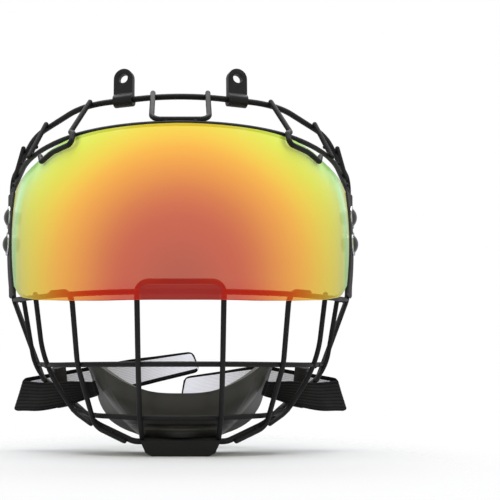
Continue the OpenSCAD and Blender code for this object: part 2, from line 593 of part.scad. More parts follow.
// Loop clip: a strip folded round the rim wire, both ends screwed together to the helmet
clip_x = 30.3;
clip_at = [clip_x, rim_apex_y + clip_x * tan(clip_turn), rim_top];
module brow_clip() {
    eye_r = rim_r + clip_play + clip_t;
    tongue_r = clip_w / 2;
    color([0.09, 0.09, 0.1]) placed() translate(clip_at) rotate([0, 0, clip_turn]) difference() {
        union() {
            translate([-clip_w / 2, 0, 0]) rotate([0, 90, 0]) cylinder(r = eye_r, h = clip_w, $fn = 64);
            translate([0, clip_t, 0]) rotate([90, 0, 0]) linear_extrude(2 * clip_t) union() {
                translate([-clip_w / 2, 0]) square([clip_w, clip_h - tongue_r]);
                translate([0, clip_h - tongue_r]) circle(r = tongue_r, $fn = 64);
            }
        }
        translate([-clip_w, 0, 0]) rotate([0, 90, 0]) cylinder(r = rim_r + clip_play, h = 2 * clip_w, $fn = 64);
        translate([0, clip_t + 1, clip_h - tongue_r]) rotate([90, 0, 0]) cylinder(d = clip_hole_d, h = 2 * clip_t + 2, $fn = 48);
    }
}

rim_wire();
brow_wire();
rail_wire();
jaw_wire();
chin_wire();
brow_hoop();
centre_hoop();
left_copy() cheek_bar();  // cheek_bar_left
cheek_bar();  // cheek_bar_right
left_copy() side_bar();  // side_bar_left
side_bar();  // side_bar_right
left_copy() rear_bar();  // rear_bar_left
rear_bar();  // rear_bar_right
left_copy() visor_hook();  // visor_hook_left
visor_hook();  // visor_hook_right
left_copy() temple_strut(front_strut_x, front_strut_spread, tip_rise / 2);  // front_strut_left
temple_strut(front_strut_x, front_strut_spread, tip_rise / 2);  // front_strut_right
left_copy() temple_strut(rear_strut_x, rear_strut_spread, tip_rise * 0.75);  // rear_strut_left
temple_strut(rear_strut_x, rear_strut_spread, tip_rise * 0.75);  // rear_strut_right
visor_lens();
left_copy() side_plate();  // side_plate_left
side_plate();  // side_plate_right
visor_screws();
screw_rings();
screw_nuts();
chin_shell();
chin_pad();
chin_foot();
left_copy() strap(left_end, 20, 45);  // strap_left
strap(right_end, 20, 75);  // strap_right
left_copy() slider();  // slider_left
slider();  // slider_right
left_copy() brow_clip();  // brow_clip_left
brow_clip();  // brow_clip_right
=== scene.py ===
import bpy
import bmesh
import json
import math
import numpy as np
from mathutils import Matrix, Vector
from mathutils.bvhtree import BVHTree


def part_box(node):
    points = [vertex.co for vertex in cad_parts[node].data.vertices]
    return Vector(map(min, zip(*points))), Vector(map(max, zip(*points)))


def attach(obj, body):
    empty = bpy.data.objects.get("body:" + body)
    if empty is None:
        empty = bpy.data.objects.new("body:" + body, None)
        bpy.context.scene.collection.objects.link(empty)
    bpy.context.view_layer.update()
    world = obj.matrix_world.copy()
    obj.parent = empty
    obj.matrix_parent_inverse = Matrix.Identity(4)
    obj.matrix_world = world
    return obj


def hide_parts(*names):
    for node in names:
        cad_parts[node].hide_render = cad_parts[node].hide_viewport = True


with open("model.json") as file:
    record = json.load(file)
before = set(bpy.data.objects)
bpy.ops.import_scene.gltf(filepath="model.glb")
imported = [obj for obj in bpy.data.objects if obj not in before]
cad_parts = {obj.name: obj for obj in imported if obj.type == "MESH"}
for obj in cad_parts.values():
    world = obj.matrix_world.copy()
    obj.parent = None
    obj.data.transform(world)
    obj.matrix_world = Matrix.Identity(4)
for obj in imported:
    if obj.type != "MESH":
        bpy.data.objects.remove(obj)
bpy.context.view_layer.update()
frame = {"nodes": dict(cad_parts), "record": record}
nodes = frame["nodes"]
mm = 0.001

# the sizes below are in millimetres in the cage's own frame, whose shift is read off two nodes
cage = {"chinZ": -119.3, "railZ": -49.0, "browZ": 39.6, "rimRadius": 1.6, "wireRadius": 1.4, "lensFront": -15.8}
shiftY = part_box("visor_lens")[0][1] / mm - cage["lensFront"]
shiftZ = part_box("rim_wire")[0][2] / mm - (cage["chinZ"] - cage["rimRadius"])
print("frame loaded, cage shift", round(shiftY, 3), round(shiftZ, 3))


class Flow:
    # one output of a shader or geometry node, so that masks can be written as sums and products
    def __init__(self, tree, socket=None):
        self.tree = tree
        self.socket = socket

    def make(self, kind, settings=None, inputs=None, out=0):
        made = self.tree.nodes.new(kind)
        for key, value in (settings or {}).items():
            if key == "stops":
                ramp = made.color_ramp
                ramp.elements[0].position, ramp.elements[0].color = value[0]
                ramp.elements[-1].position, ramp.elements[-1].color = value[-1]
                for place, colour in value[1:-1]:
                    ramp.elements.new(place).color = colour
            else:
                setattr(made, key, value)
        for key, value in (inputs or {}).items():
            if isinstance(value, Flow):
                self.tree.links.new(value.socket, made.inputs[key])
            else:
                made.inputs[key].default_value = value
        return Flow(self.tree, made.outputs[out])

    def maths(self, operation, *values):
        return self.make("ShaderNodeMath", {"operation": operation}, dict(enumerate(values)))

    def alone(self, operation):
        return self.maths(operation, self)

    def __add__(self, other):
        return self.maths("ADD", self, other)

    def __radd__(self, other):
        return self.maths("ADD", other, self)

    def __sub__(self, other):
        return self.maths("SUBTRACT", self, other)

    def __rsub__(self, other):
        return self.maths("SUBTRACT", other, self)

    def __mul__(self, other):
        return self.maths("MULTIPLY", self, other)

    def __rmul__(self, other):
        return self.maths("MULTIPLY", other, self)

    def __truediv__(self, other):
        return self.maths("DIVIDE", self, other)

    def __pow__(self, other):
        return self.maths("POWER", self, other)

    def steps(self, low, high, least=0.0, most=1.0):
        return self.make("ShaderNodeMapRange", {"interpolation_type": "SMOOTHSTEP"},
                         {"Value": self, "From Min": low, "From Max": high, "To Min": least, "To Max": most})

    def ramp(self, stops):
        full = [(place, (*colour, 1.0)) for place, colour in stops]
        return self.make("ShaderNodeValToRGB", {"stops": full}, {"Fac": self})

    def blend(self, first, second, kind="MIX"):
        made = self.tree.nodes.new("ShaderNodeMix")
        made.data_type = "RGBA"
        made.blend_type = kind
        for index, value in ((0, self), (6, first), (7, second)):
            if isinstance(value, Flow):
                self.tree.links.new(value.socket, made.inputs[index])
            elif index == 0:
                made.inputs[0].default_value = value
            else:
                made.inputs[index].default_value = (*value, 1.0)
        return Flow(self.tree, made.outputs[2])


class Finish:
    # a material with one Principled shader
    def __init__(self, name, **fixed):
        self.material = bpy.data.materials.new(name)
        self.material.use_nodes = True
        self.tree = self.material.node_tree
        self.shader = self.tree.nodes["Principled BSDF"]
        self.output = self.tree.nodes["Material Output"]
        self.flow = Flow(self.tree)
        for key, value in fixed.items():
            self.shader.inputs[key.replace("_", " ").title().replace("Ior", "IOR")].default_value = value
        self.place = self.flow.make("ShaderNodeTexCoord", out=3)

    def feed(self, **links):
        for key, value in links.items():
            self.tree.links.new(value.socket, self.shader.inputs[key.replace("_", " ").title()])

    def split(self, vector=None):
        made = self.tree.nodes.new("ShaderNodeSeparateXYZ")
        self.tree.links.new((vector or self.place).socket, made.inputs[0])
        return [Flow(self.tree, made.outputs[i]) for i in range(3)]

    def uv(self, name):
        return self.flow.make("ShaderNodeUVMap", {"uv_map": name})

    def noise(self, scale, detail=2.0, rough=0.5):
        return self.flow.make("ShaderNodeTexNoise", {"noise_dimensions": "3D"},
                              {"Vector": self.place, "Scale": scale, "Detail": detail, "Roughness": rough})

    def cells(self, scale):
        return self.flow.make("ShaderNodeTexVoronoi", {"feature": "F1"}, {"Vector": self.place, "Scale": scale})

    def bump(self, height, strength, distance):
        self.feed(Normal=self.flow.make("ShaderNodeBump", None,
                                        {"Strength": strength, "Distance": distance, "Height": height}))

    def mottle(self, scale, detail, dark, light, rough=None):
        # two near tones in broad soft patches, with the roughness going along
        broad = self.noise(scale, detail)
        self.feed(Base_Color=broad.blend(dark, light))
        if rough:
            self.feed(Roughness=broad.steps(0.3, 0.7, *rough))

    def clear(self, tint=(1.0, 1.0, 1.0)):
        made = self.tree.nodes.new("ShaderNodeBsdfTransparent")
        made.inputs[0].default_value = (*tint, 1.0)
        return made

    def mixed(self, share, first, second):
        made = self.tree.nodes.new("ShaderNodeMixShader")
        self.tree.links.new(share.socket, made.inputs[0])
        self.tree.links.new(first.outputs[0], made.inputs[1])
        self.tree.links.new(second.outputs[0], made.inputs[2])
        return made

    def surface(self, shader):
        self.tree.links.new(shader.outputs[0], self.output.inputs[0])


def srgb(*levels):
    # the linear tone of an 8-bit colour
    shares = [level / 255 for level in levels]
    return tuple(round(c / 12.92 if c < 0.0405 else ((c + 0.055) / 1.055) ** 2.4, 5) for c in shares)


# shape helpers, all in cage millimetres

def inRow(points):
    points = np.asarray(points, float)
    return (points + np.array([0.0, shiftY, shiftZ])) * mm


def unit(v):
    v = np.asarray(v, float)
    return v / np.linalg.norm(v)


def roundedPath(corners, radii, step):
    # a line through corner points, each rounded to its radius, as even points about a step apart
    corners = [np.asarray(c, float) for c in corners]
    out = [corners[0]]
    for i in range(1, len(corners) - 1):
        a, b = unit(corners[i - 1] - corners[i]), unit(corners[i + 1] - corners[i])
        half = math.acos(np.clip(a @ b, -1, 1)) / 2
        back = radii[i] / math.tan(half)
        centre = corners[i] + unit(a + b) * math.hypot(radii[i], back)
        start, end = corners[i] + a * back - centre, corners[i] + b * back - centre
        wide = math.acos(np.clip(unit(start) @ unit(end), -1, 1))
        arcPoints = 24
        for k in range(arcPoints + 1):
            t = k / arcPoints
            out.append(centre + (math.sin(wide * (1 - t)) * start + math.sin(wide * t) * end) / math.sin(wide))
    out.append(corners[-1])
    line = np.array(out)
    along = np.concatenate([[0], np.cumsum(np.linalg.norm(np.diff(line, axis=0), axis=1))])
    even = np.linspace(0, along[-1], max(2, int(round(along[-1] / step)) + 1))
    return np.column_stack([np.interp(even, along, line[:, k]) for k in range(3)]), even


def gentle(values, reach):
    # a running mean, twice, that keeps both ends
    kernel = np.ones(2 * reach + 1) / (2 * reach + 1)
    for _ in range(2):
        before, after = 2 * values[0] - values[reach:0:-1], 2 * values[-1] - values[-2:-reach - 2:-1]
        values = np.convolve(np.concatenate([before, values, after]), kernel, "valid")
    return values


def linked(name, data):
    piece = bpy.data.objects.new(name, data)
    bpy.context.scene.collection.objects.link(piece)
    return piece


def newPiece(name, points, faces, uvs=None, uvName="surface", materialOf=None):
    mesh = bpy.data.meshes.new(name)
    mesh.from_pydata([tuple(p) for p in inRow(points)], [], [tuple(f) for f in faces])
    if uvs is not None:
        layer = mesh.uv_layers.new(name=uvName)
        flat = np.asarray(uvs, float)[np.array([v for p in mesh.polygons for v in p.vertices])]
        layer.data.foreach_set("uv", flat.ravel())
    mesh.polygons.foreach_set("use_smooth", [True] * len(mesh.polygons))
    if materialOf is not None:
        mesh.polygons.foreach_set("material_index", list(materialOf))
    mesh.update()
    return linked(name, mesh)


def tubeFaces(rings, around):
    # quads of a closed tube stored ring by ring, then quads across each end
    faces = []
    for start in range(0, (rings - 1) * around, around):
        for a, b in ((c, (c + 1) % around) for c in range(around)):
            faces.append((start + a, start + b, start + around + b, start + around + a))
    for base, turn in ((0, 1), ((rings - 1) * around, -1)):
        for k in range(around // 2 - 1):
            faces.append((base + k, base + k + 1, base + around - 2 - k, base + around - 1 - k)[::turn])
    return faces


def sheetFaces(rows, cols):
    # quads of a sheet with two sides, each stored row by row, and of the rim between them;
    # the kinds are 0 for the front, 1 for the rim and 2 for the back
    size = rows * cols
    faces, kinds = [], []
    for i in range(rows - 1):
        for j in range(cols - 1):
            a, b, c, d = i * cols + j, (i + 1) * cols + j, (i + 1) * cols + j + 1, i * cols + j + 1
            faces += [(a, b, c, d), (size + d, size + c, size + b, size + a)]
            kinds += [0, 2]
    rim = [i * cols for i in range(rows)] + [(rows - 1) * cols + j for j in range(1, cols)]
    rim += [i * cols + cols - 1 for i in range(rows - 2, -1, -1)] + list(range(cols - 2, 0, -1))
    for a, b in zip(rim, rim[1:] + rim[:1]):
        faces.append((b, a, size + a, size + b))
        kinds.append(1)
    return faces, kinds


def applied(piece):
    # the evaluated shape as a plain mesh, with the modifiers gone
    graph = bpy.context.evaluated_depsgraph_get()
    done = bpy.data.meshes.new_from_object(piece.evaluated_get(graph), preserve_all_data_layers=True, depsgraph=graph)
    old = piece.data
    piece.modifiers.clear()
    piece.data = done
    bpy.data.meshes.remove(old)
    return piece


def addMaterials(piece, *materials):
    # clearing the list first would also forget which face has which material
    while len(piece.data.materials) > len(materials):
        piece.data.materials.pop()
    for place, material in enumerate(materials):
        if place < len(piece.data.materials):
            piece.data.materials[place] = material
        else:
            piece.data.materials.append(material)
    return piece


def paintNode(node, material):
    piece = nodes[node]
    if not piece.data.materials:
        piece.data.materials.append(material)
    for slot in piece.material_slots:
        slot.material = material


def mirrored(points):
    return np.asarray(points) * np.array([-1.0, 1.0, 1.0])


def faceOut(piece):
    work = bmesh.new()
    work.from_mesh(piece.data)
    bmesh.ops.recalc_face_normals(work, faces=work.faces)
    work.to_mesh(piece.data)
    work.free()
    piece.data.update()


def softEdged(node, name, width, segments, angle):
    # a merged copy of a CAD node with its edges broken by a small round
    limits = {"merge": 2e-6, "flatAngle": 0.6, "smoothAngle": 35}
    piece = linked(name, nodes[node].data.copy())
    work = bmesh.new()
    work.from_mesh(piece.data)
    bmesh.ops.remove_doubles(work, verts=work.verts, dist=limits["merge"])
    bmesh.ops.dissolve_limit(work, angle_limit=math.radians(limits["flatAngle"]), verts=work.verts, edges=work.edges)
    work.to_mesh(piece.data)
    work.free()
    bevel = piece.modifiers.new("brokenEdges", "BEVEL")
    bevel.width, bevel.segments = width * mm, segments
    bevel.limit_method, bevel.angle_limit = "ANGLE", math.radians(angle)
    applied(piece)
    for polygon in piece.data.polygons:
        polygon.use_smooth = True
    piece.data.set_sharp_from_angle(angle=math.radians(limits["smoothAngle"]))
    return piece


# materials

def powderCoat():
    look = {"dark": (0.006, 0.006, 0.0065), "light": (0.012, 0.012, 0.013), "rough": (0.46, 0.56),
            "peel": 900, "depth": 0.00004}
    coat = Finish("satinPowderCoat", specular_ior_level=0.2, coat_weight=0.04, coat_roughness=0.35)
    coat.mottle(70, 2.0, look["dark"], look["light"], look["rough"])
    coat.bump(coat.noise(look["peel"], 3.0, 0.6), 0.3, look["depth"])
    return coat.material


def lensCoat():
    # the mirror coating's colour is partly its own tint and partly painted reflection: its angle-dependent colours as
    # seen from the front are painted as fixed colour, running from red low in the middle over orange and yellow to mint
    # at the sides and back to a dull orange at the temples, darker towards the lower edge and greener towards the top;
    # the map "sight" holds how far round and how far up a point lies, and the green begins about 1 away from its origin
    look = {"share": 0.3, "rearShare": 0.5, "reach": 1.8, "gloss": 0.25, "lowMiddle": (1.0, 0.76, 0.66),
            "lowSides": (0.78, 0.82, 0.8), "lowEdgeShade": (1.0, 0.42, 0.36), "high": (1.0, 1.12, 1.0),
            "hoopShade": (172, 36, 26), "hoopShadeHides": 0.92}
    seenThrough = {"middle": (0.56, 0.36, 0.26), "sides": (1.0, 1.0, 0.25), "temples": (0.92, 1.0, 0.7)}
    stops = [(0.0, (196, 48, 38)), (0.14, (204, 54, 38)), (0.32, (224, 70, 35)), (0.42, (230, 76, 33)),
             (0.52, (236, 80, 28)), (0.6, (244, 94, 24)), (0.68, (250, 112, 22)), (0.75, (254, 138, 26)),
             (0.82, (250, 172, 30)), (0.89, (238, 194, 36)), (0.98, (218, 212, 52)), (1.06, (210, 222, 80)),
             (1.12, (196, 232, 124)), (1.2, (190, 242, 160)), (1.3, (226, 255, 200)), (1.42, (222, 212, 108)),
             (1.6, (230, 176, 72)), (1.8, (226, 156, 56))]
    coat = Finish("mirrorCoatedLens", roughness=0.35, ior=1.45, specular_ior_level=0.25,
                  coat_weight=look["gloss"], coat_roughness=0.08)
    u, v, unused = coat.split(coat.uv("sight"))
    cloud = coat.noise(9, 1.0)
    high = v.steps(0.35, 0.8)
    reach = (u * u + v * v) ** 0.5 + (cloud - 0.5) * 0.02 + high * 0.04
    colour = (reach / look["reach"]).ramp([(place / look["reach"], srgb(*tone)) for place, tone in stops])
    low = v.steps(-0.05, 0.5, 1.0, 0.0)
    shade = low.blend(colour, reach.steps(0.5, 0.95).blend(look["lowMiddle"], look["lowSides"]), "MULTIPLY")
    # painted shade: a deeper red band along the lower edge in the middle of the lens
    lowEdgeShade = v.steps(0.045, 0.105, 1.0, 0.0) * reach.steps(0.45, 0.8, 1.0, 0.0)
    shade = lowEdgeShade.blend(shade, look["lowEdgeShade"], "MULTIPLY")
    shade = high.blend(shade, look["high"], "MULTIPLY")
    # painted shade: the stretch behind the mouth hoop is painted dark red and made nearly opaque, standing in for the
    # shade seen through the lens there
    hoopShade = u.alone("ABSOLUTE").steps(0.25, 0.275, 1.0, 0.0) * v.steps(0.066, 0.076, 1.0, 0.0)
    shade = hoopShade.blend(shade, srgb(*look["hoopShade"]))
    coat.feed(Base_Color=shade, Coat_Weight=reach.steps(0.95, 1.15, look["gloss"], 0.0))
    through = coat.mixed(reach.steps(0.35, 0.75), coat.clear(seenThrough["middle"]), coat.clear(seenThrough["sides"]))
    through = coat.mixed(reach.steps(1.0, 1.2), through, coat.clear(seenThrough["temples"]))
    # the coating hides what is behind it where it is seen at a glancing angle
    glance = coat.flow.make("ShaderNodeLayerWeight", None, {"Blend": 0.5}, out=1)
    share = reach.steps(1.1, 1.5, look["share"], look["rearShare"])
    # the painted hoop shade also hides what is behind it
    share = share * (1 - glance ** 4.0) * (1 - hoopShade * look["hoopShadeHides"])
    coat.surface(coat.mixed(share, coat.shader, through))
    return coat.material


def lensInside():
    # the uncoated back of the visor: clear, with a faint gloss
    inside = Finish("clearLensBack", roughness=0.2, ior=1.45, specular_ior_level=0.3)
    broad = inside.noise(14, 2.0)
    inside.feed(Base_Color=broad.blend((0.5, 0.34, 0.2), (0.56, 0.38, 0.22)))
    inside.surface(inside.mixed(broad.steps(0.2, 0.8, 0.94, 0.97), inside.shader, inside.clear()))
    return inside.material


def lensEdge():
    # the cut edge is painted pale mint-white: partly its own frosted tone, partly a painted highlight along the lit
    # edge
    edge = Finish("paleLensEdgeAndHighlight", roughness=0.22, ior=1.5, coat_weight=0.4)
    edge.mottle(60, 2.0, srgb(206, 232, 214), srgb(232, 240, 214))
    return edge.material


def plateRubber():
    rubber = Finish("mattSidePlate", specular_ior_level=0.35)
    rubber.mottle(55, 3.0, (0.012, 0.012, 0.013), (0.02, 0.02, 0.021), (0.55, 0.68))
    rubber.bump(rubber.cells(1500), 0.3, 0.00005)
    return rubber.material


def domePlastic():
    dome = Finish("glossyScrewDome", roughness=0.2, coat_weight=0.5, coat_roughness=0.08)
    dome.mottle(120, 2.0, (0.014, 0.014, 0.015), (0.022, 0.022, 0.024))
    dome.bump(dome.noise(1400, 2.0), 0.12, 0.00002)
    return dome.material


def brightMetal(name, colour, low, high, grain):
    metal = Finish(name, metallic=1.0)
    broad = metal.noise(grain, 4.0, 0.7)
    metal.feed(Base_Color=broad.blend(tuple(c * 0.85 for c in colour), colour),
               Roughness=broad.steps(0.3, 0.7, low, high))
    metal.bump(broad, 0.1, 0.00003)
    return metal.material


def cupPlastic():
    # olive grey above, darker towards the base, with painted shade in a dark band over the grooves and rib above the
    # base, and a fine moulded grain
    cup = Finish("oliveCupPlastic", specular_ior_level=0.35, coat_weight=0.08, coat_roughness=0.35)
    x, y, z = cup.split()
    broad = cup.noise(28, 3.0)
    height = (z + (broad - 0.5) * 0.001) / 0.06
    dark, band, upper = (0.01, 0.0098, 0.0083), (0.036, 0.035, 0.029), (0.036, 0.035, 0.0285)
    # painted shade: the dark stops between 0.265 and 0.31 darken the band over the grooves and rib under the front
    # panel
    shade = height.ramp([(0.0, dark), (0.19, dark), (0.215, band), (0.235, band), (0.265, dark), (0.31, dark),
                         (0.335, (0.032, 0.031, 0.026)), (0.6, upper)])
    cup.feed(Base_Color=shade, Roughness=broad.steps(0.3, 0.7, 0.42, 0.54))
    cup.bump(cup.cells(1100), 0.25, 0.00006)
    return cup.material


def footRubber():
    rubber = Finish("darkBaseRubber", specular_ior_level=0.3)
    rubber.mottle(45, 3.0, (0.005, 0.005, 0.0045), (0.009, 0.009, 0.008), (0.6, 0.72))
    rubber.bump(rubber.cells(1300), 0.3, 0.00006)
    return rubber.material


def padMesh():
    # spacer mesh over foam: rows of small round openings
    look = {"pitch": 2.2, "dark": (0.045, 0.045, 0.046), "light": (0.065, 0.065, 0.066),
            "hole": (0.008, 0.008, 0.008)}
    pad = Finish("spacerMeshPad", specular_ior_level=0.2, sheen_weight=0.3, sheen_roughness=0.5)
    u, v, unused = pad.split(pad.uv("surface"))
    across, up = u / look["pitch"], v / look["pitch"]
    row = up.alone("FLOOR")
    a = (across + row.maths("MODULO", row, 2.0) * 0.5).alone("FRACT") - 0.5
    b = up.alone("FRACT") - 0.5
    hole = 1 - (a * a + b * b).steps(0.05, 0.11)
    broad = pad.noise(60, 2.0)
    pad.feed(Base_Color=hole.blend(broad.blend(look["dark"], look["light"]), look["hole"]),
             Roughness=broad.steps(0.3, 0.7, 0.8, 0.9))
    pad.bump(1 - hole, 0.6, 0.0004)
    return pad.material


def webbing(name, dark, light, edge, ribs):
    # v runs across the band in millimetres from its middle, u along it
    look = {"picks": 1.7, "border": (7.0, 7.3), "warpShare": 0.7, "weftShare": 0.3}
    cloth = Finish(name, specular_ior_level=0.08, sheen_weight=0.02, sheen_roughness=0.4)
    u, v, unused = cloth.split(cloth.uv("surface"))

    def threads(place):
        return (place.alone("FRACT") - 0.5).alone("ABSOLUTE") * 2

    warp, weft = threads(v * ribs), threads(u * look["picks"])
    broad = cloth.noise(180, 3.0)
    shade = (warp.steps(0.15, 0.6) * look["warpShare"] + weft.steps(0.2, 0.8) * look["weftShare"]).blend(dark, light)
    shade = (broad * 0.25).blend(shade, dark)
    side = v.alone("ABSOLUTE").steps(*look["border"])
    cloth.feed(Base_Color=(side if edge else side * 0.4).blend(shade, edge or dark),
               Roughness=broad.steps(0.3, 0.7, 0.78, 0.9))
    cloth.bump(warp * look["warpShare"] + weft * look["weftShare"], 0.5, 0.00025)
    return cloth.material


def mouldedBlack(name, rough, grain):
    black = Finish(name, specular_ior_level=0.35)
    black.mottle(80, 3.0, (0.006, 0.006, 0.0065), (0.012, 0.012, 0.0125), (rough - 0.05, rough + 0.05))
    black.bump(black.noise(grain, 2.0), 0.2, 0.00004)
    return black.material


finish = {
    "wire": powderCoat(), "lens": lensCoat(), "lensBack": lensInside(), "lensEdge": lensEdge(),
    "plate": plateRubber(), "dome": domePlastic(),
    "ring": brightMetal("brightScrewRing", (0.8, 0.81, 0.82), 0.18, 0.3, 400),
    "nut": brightMetal("plainSteelNut", (0.5, 0.51, 0.52), 0.3, 0.45, 250),
    "cup": cupPlastic(), "foot": footRubber(), "pad": padMesh(),
    "strapOut": webbing("ribbedStrapFace", (0.005, 0.005, 0.0052), (0.019, 0.019, 0.0185), None, 0.45),
    "strapIn": webbing("paleStrapLining", (0.52, 0.53, 0.62), (0.84, 0.85, 0.96), (0.004, 0.004, 0.0045), 0.9),
    "slider": mouldedBlack("sliderPlastic", 0.4, 900), "clip": mouldedBlack("vinylClip", 0.36, 700),
}
print("materials made:", len(finish))


# wires and small metal parts keep their CAD shape

wires = [n for n in nodes if any(k in n for k in ("_wire", "_hoop", "_bar_", "_strut_", "_hook_"))]
for node in wires:
    paintNode(node, finish["wire"])
paintNode("visor_screws", finish["dome"])
paintNode("screw_rings", finish["ring"])
paintNode("screw_nuts", finish["nut"])
for node in wires + ["visor_screws", "screw_rings", "screw_nuts"]:
    print("kept", node, len(nodes[node].data.polygons))


def weldBeads():
    # fused metal where two wires meet: the spots come from where their surfaces cross
    size = {"bead": 1.3, "spread": 14.0, "roughness": 0.12, "seed": 4}
    trees = {}
    for node in wires:
        mesh = nodes[node].data
        corners = [v.co.copy() for v in mesh.vertices]
        trees[node] = BVHTree.FromPolygons(corners, [tuple(p.vertices) for p in mesh.polygons])
    spots = []
    for first, second in frame["record"]["behaviour"]["press_fits"]:
        if first not in trees or second not in trees:
            continue
        hits = trees[first].overlap(trees[second])
        centres = np.array([np.array(nodes[first].data.polygons[a].center) for a, b in hits])
        if not len(centres):
            continue
        # wires of one piece can meet another on both sides of the middle
        for group in (centres[centres[:, 0] > 0], centres[centres[:, 0] <= 0]):
            while len(group):
                near = np.linalg.norm(group - group[0], axis=1) < size["spread"] * mm
                spots.append((group[near].max(axis=0) + group[near].min(axis=0)) / 2)
                group = group[~near]
    mesh = bpy.data.meshes.new("weldBeads")
    mesh.from_pydata([tuple(p) for p in spots], [], [])
    piece = linked("weldBeads", mesh)

    tree = bpy.data.node_groups.new("beadsOnSpots", "GeometryNodeTree")
    sockets = {}
    for label, kind in (("Geometry", "Geometry"), ("Bead Radius", "Float"), ("Unevenness", "Float"), ("Seed", "Int"),
                        ("Coat", "Material")):
        sockets[label] = tree.interface.new_socket(label, in_out="INPUT", socket_type="NodeSocket" + kind)
    tree.interface.new_socket("Geometry", in_out="OUTPUT", socket_type="NodeSocketGeometry")
    flow = Flow(tree)
    entry = tree.nodes.new("NodeGroupInput")
    given = {s.name: Flow(tree, s) for s in entry.outputs if s.name}
    ball = flow.make("GeometryNodeMeshIcoSphere", None, {"Radius": given["Bead Radius"], "Subdivisions": 3})
    points = flow.make("GeometryNodeMeshToPoints", None, {"Mesh": given["Geometry"]})
    least, most = 1 - given["Unevenness"], 1 + given["Unevenness"]
    scale = flow.make("FunctionNodeRandomValue", {"data_type": "FLOAT"},
                      {2: least, 3: most, "Seed": given["Seed"]}, out=1)
    placed = flow.make("GeometryNodeInstanceOnPoints", None, {"Points": points, "Instance": ball, "Scale": scale})
    real = flow.make("GeometryNodeRealizeInstances", None, {"Geometry": placed})
    coated = flow.make("GeometryNodeSetMaterial", None, {"Geometry": real, "Material": given["Coat"]})
    leave = tree.nodes.new("NodeGroupOutput")
    tree.links.new(coated.socket, leave.inputs[0])
    modifier = piece.modifiers.new("beads", "NODES")
    modifier.node_group = tree
    for label, value in (("Bead Radius", size["bead"] * mm), ("Unevenness", size["roughness"]),
                         ("Seed", size["seed"]), ("Coat", finish["wire"])):
        modifier[sockets[label].identifier] = value
    applied(piece)
    for polygon in piece.data.polygons:
        polygon.use_smooth = True
    if not piece.data.materials:
        piece.data.materials.append(finish["wire"])
    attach(piece, "face_guard")
    print("weld beads at", len(spots), "spots")


weldBeads()


# visor lens: in plan an arc of the bend radius with a straight flank at each side, its lengths measured
# round it from the middle, and upright a curve that eases towards the flanks

sharpAngle = {"lens": 50, "plate": 50, "cup": 48, "strap": 60}
lensSize = {"front": cage["lensFront"], "bend": 92.0, "endX": 107.4, "endY": 116.0, "thick": 2.2, "upright": 135.0,
            "corner": 105.0, "lowCorner": 600.0, "flank": 230.0, "top": cage["browZ"] - cage["wireRadius"] - 0.4,
            "low": cage["railZ"] - 1.7, "mid": (cage["browZ"] + cage["railZ"]) / 2 - 3.3}


def lensCurve():
    s = lensSize
    dy = s["endY"] - s["front"] - s["bend"]
    angle = math.atan2(dy, s["endX"]) + math.asin(s["bend"] / math.hypot(s["endX"], dy))
    arc = s["bend"] * angle
    tangent = np.array([s["bend"] * math.sin(angle), s["front"] + s["bend"] * (1 - math.cos(angle))])
    flank = math.hypot(s["endX"] - tangent[0], s["endY"] - tangent[1])
    return angle, arc, tangent, flank


lensAngle, lensArc, lensTangent, lensFlank = lensCurve()
flankNormal = np.array([math.sin(lensAngle), -math.cos(lensAngle), 0.0])
lensHalf = lensArc + lensFlank - 0.6 / math.cos(lensAngle)


def lensPlan(s):
    # point and outward direction at a length s round the lens, on its right half
    if s <= lensArc:
        a, bend = s / lensSize["bend"], lensSize["bend"]
        return (bend * math.sin(a), lensSize["front"] + bend * (1 - math.cos(a))), (math.sin(a), -math.cos(a))
    t = s - lensArc
    at = (lensTangent[0] + t * math.cos(lensAngle), lensTangent[1] + t * math.sin(lensAngle))
    return at, (flankNormal[0], flankNormal[1])


def lensTop(x):
    return lensSize["top"] - np.interp(x, [0, 60, 80, 92, 100, 104, 106, 107.4], [0, 0.6, 1.8, 3, 5, 7, 10, 14])


def lensLow(x):
    return lensSize["low"] + np.interp(x, [0, 40, 60, 75, 86, 91, 96, 101, 104, 106, 107.4],
                                       [0, 0.5, 1.7, 3.7, 7.4, 11, 15.6, 20.4, 23, 27, 31])


def arcFall(r, z):
    return r - math.sqrt(r * r - z * z)


def lensFall(x, z):
    mid = lensSize["mid"]
    if z > mid:
        flat = np.interp(x, [0, 84, 88, 92, 96, 100, 103], [0, 0, 0.08, 0.45, 0.75, 0.95, 1])
        upright = np.interp(x, [0, 45, 78], [lensSize["upright"], lensSize["upright"], lensSize["corner"]])
    else:
        flat = np.interp(x, [0, 88, 92, 96, 100, 103], [0, 0, 0.1, 0.3, 0.7, 1])
        bends = [1 / lensSize["upright"], 1 / lensSize["upright"], 1 / lensSize["lowCorner"]]
        upright = 1 / np.interp(x, [0, 45, 80], bends)
    return (1 - flat) * arcFall(upright, z - mid) + flat * arcFall(lensSize["flank"], z - 1)


def lensPoint(s, z, off=0.0):
    (px, py), (nx, ny) = lensPlan(s)
    move = off - lensFall(px, z)
    return np.array([px + nx * move, py + ny * move, z])


def findScrews():
    # the four screw axes, read off the rings' own solids
    spots = []
    co = np.array([v.co for v in nodes["screw_rings"].data.vertices])
    for side in (1, -1):
        for up in (1, -1):
            part = co[(co[:, 0] * side > 0)]
            middle = (part[:, 2].max() + part[:, 2].min()) / 2
            part = part[(part[:, 2] - middle) * up > 0]
            spots.append((part.max(axis=0) + part.min(axis=0)) / 2)
    return spots


screwSpots = findScrews()


